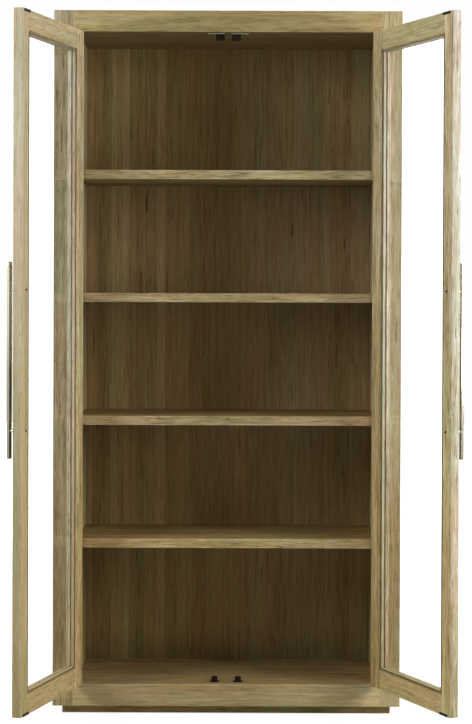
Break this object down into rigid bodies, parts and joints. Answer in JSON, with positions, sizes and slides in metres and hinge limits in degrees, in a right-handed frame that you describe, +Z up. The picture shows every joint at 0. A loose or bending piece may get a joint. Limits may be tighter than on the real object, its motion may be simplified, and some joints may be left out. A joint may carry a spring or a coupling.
{
  "type": "bookcase with glass doors",
  "caption": "Tall free-standing teak bookcase with framed glass doors on butt hinges, slim bar handles, thick fixed shelves, a boarded back and a recessed plinth.",
  "frame": {"origin": "on the floor, under the middle of the case, at the underside of the plinth's stretcher", "axes": "+Z up, +X to the right and +Y to the back as seen from in front of the doors"},
  "size_m": [1.2152, 0.8344, 2.025],
  "materials": {
    "teak": "washed natural teak, matt",
    "glass": "clear float glass",
    "brass": "brushed, slightly aged",
    "black_metal": "black satin"
  },
  "bodies": {
    "carcass": {"back_board_1": "teak", "back_board_2": "teak", "back_board_3": "teak", "back_board_4": "teak", "back_board_5": "teak", "back_board_6": "teak", "back_board_7": "teak", "back_bottom_rail": "teak", "back_left_post": "teak", "back_right_post": "teak", "back_top_rail": "teak", "ceiling_catches": "black_metal", "ceiling_panel": "teak", "floor_catches": "black_metal", "floor_panel": "teak", "front_bottom_rail": "teak", "front_left_post": "teak", "front_right_post": "teak", "front_top_rail": "teak", "hinge_frame_leaves": "brass", "hinge_pins": "brass", "left_side_lining": "teak", "left_side_skin": "teak", "plinth_back_rail": "teak", "plinth_front_rail": "teak", "plinth_left_rail": "teak", "plinth_right_rail": "teak", "plinth_stretcher": "teak", "right_side_lining": "teak", "right_side_skin": "teak", "shelf_1": "teak", "shelf_2": "teak", "shelf_3": "teak", "shelf_4": "teak", "top_panel": "teak"},
    "left_door": {"left_door_bottom_rail": "teak", "left_door_cross_beads": "teak", "left_door_glass": "glass", "left_door_handle_bar": "brass", "left_door_handle_screws": "black_metal", "left_door_handle_standoffs": "brass", "left_door_hinge_leaves": "brass", "left_door_hinge_stile": "teak", "left_door_meeting_stile": "teak", "left_door_strike_plates": "black_metal", "left_door_top_rail": "teak", "left_door_upright_beads": "teak"},
    "right_door": {"right_door_bottom_rail": "teak", "right_door_cross_beads": "teak", "right_door_glass": "glass", "right_door_handle_bar": "brass", "right_door_handle_screws": "black_metal", "right_door_handle_standoffs": "brass", "right_door_hinge_leaves": "brass", "right_door_hinge_stile": "teak", "right_door_meeting_stile": "teak", "right_door_strike_plates": "black_metal", "right_door_top_rail": "teak", "right_door_upright_beads": "teak"}
  },
  "joints": [
    {"name": "left_door_hinge", "type": "hinge", "parent": "carcass", "child": "left_door", "pos_m": [-0.441, -0.2046, 1.026], "axis": [0, 0, -1], "range_deg": [-106.5, 63.5]},
    {"name": "right_door_hinge", "type": "hinge", "parent": "carcass", "child": "right_door", "pos_m": [0.441, -0.2046, 1.026], "axis": [0, 0, 1], "range_deg": [-114.5, 55.5]}
  ]
}
